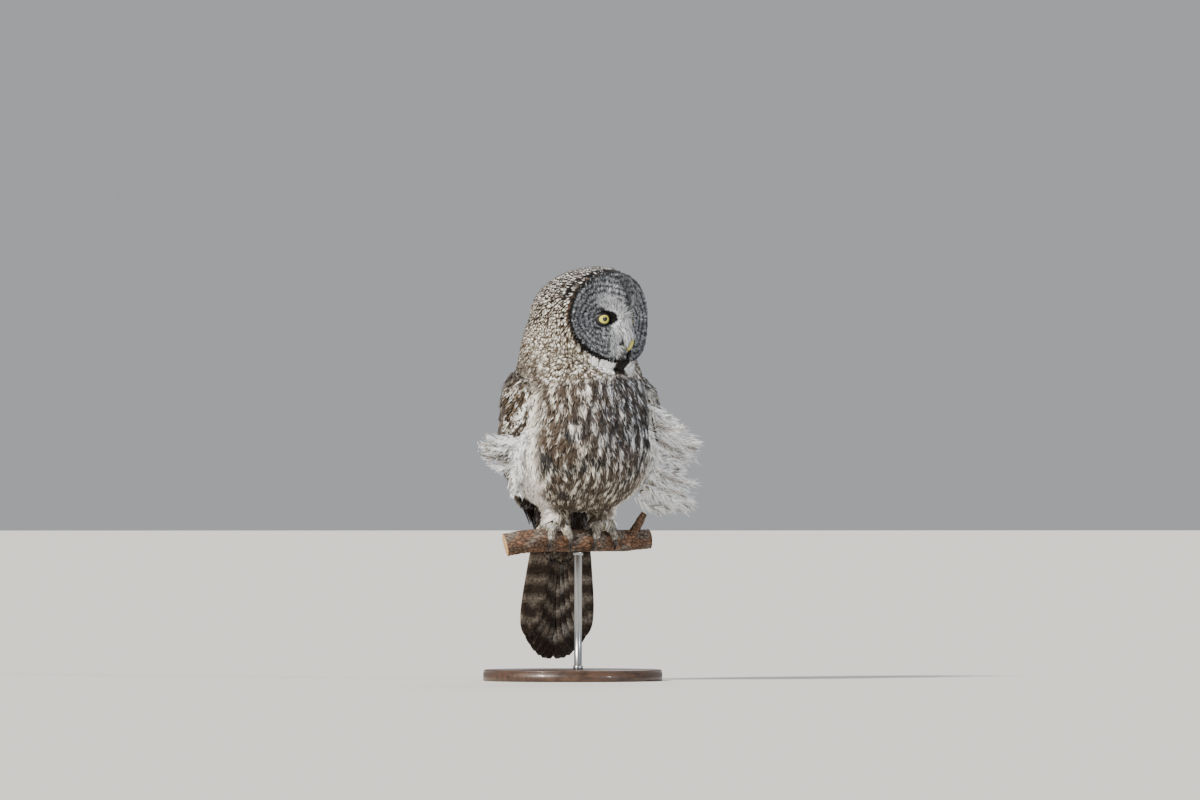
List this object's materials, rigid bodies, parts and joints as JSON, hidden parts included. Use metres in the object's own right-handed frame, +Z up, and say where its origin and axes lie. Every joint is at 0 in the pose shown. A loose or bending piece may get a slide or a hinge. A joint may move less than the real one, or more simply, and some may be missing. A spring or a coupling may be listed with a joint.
{
  "type": "great grey owl",
  "caption": "Life-size great grey owl, head turned aside, wings folded and flank feathers wind-blown, perched on a cut pine stem that a rod holds over a round base.",
  "frame": {"origin": "underside of the stand's base, straight below the middle of the perch", "axes": "+Z up, -Y the way the body faces, +X the bird's own left"},
  "size_m": [0.3498, 0.2809, 0.6468],
  "materials": {
    "head_feathers": "matte, finely barred grey and brown",
    "body_feathers": "matte, soft grey with dark streaks and white edges",
    "wing_feathers": "matte, dark brown mottled and barred",
    "tail_feathers": "matte, brown with grey bars",
    "leg_feathers": "matte, downy grey",
    "iris": "wet and glossy, yellow with a black pupil",
    "bill": "smooth horn, satin",
    "claw": "smooth black horn, satin",
    "bark": "rough pine bark, cut ends bare",
    "rod_steel": "brushed",
    "base_wood": "dark stain, satin"
  },
  "bodies": {
    "root": {"head": "head_feathers", "neck": "body_feathers", "torso": "body_feathers", "wing_left": "wing_feathers", "wing_right": "wing_feathers", "tail": "tail_feathers", "eye_left": "iris", "eye_right": "iris", "bill_upper": "bill", "bill_lower": "bill", "leg_left": "leg_feathers", "leg_right": "leg_feathers", "foot_left": "leg_feathers", "foot_right": "leg_feathers", "perch": "bark", "stand_rod": "rod_steel", "stand_base": "base_wood", "claw_left_1": "claw", "claw_left_2": "claw", "claw_left_3": "claw", "claw_left_4": "claw", "claw_right_1": "claw", "claw_right_2": "claw", "claw_right_3": "claw", "claw_right_4": "claw"}
  },
  "joints": []
}
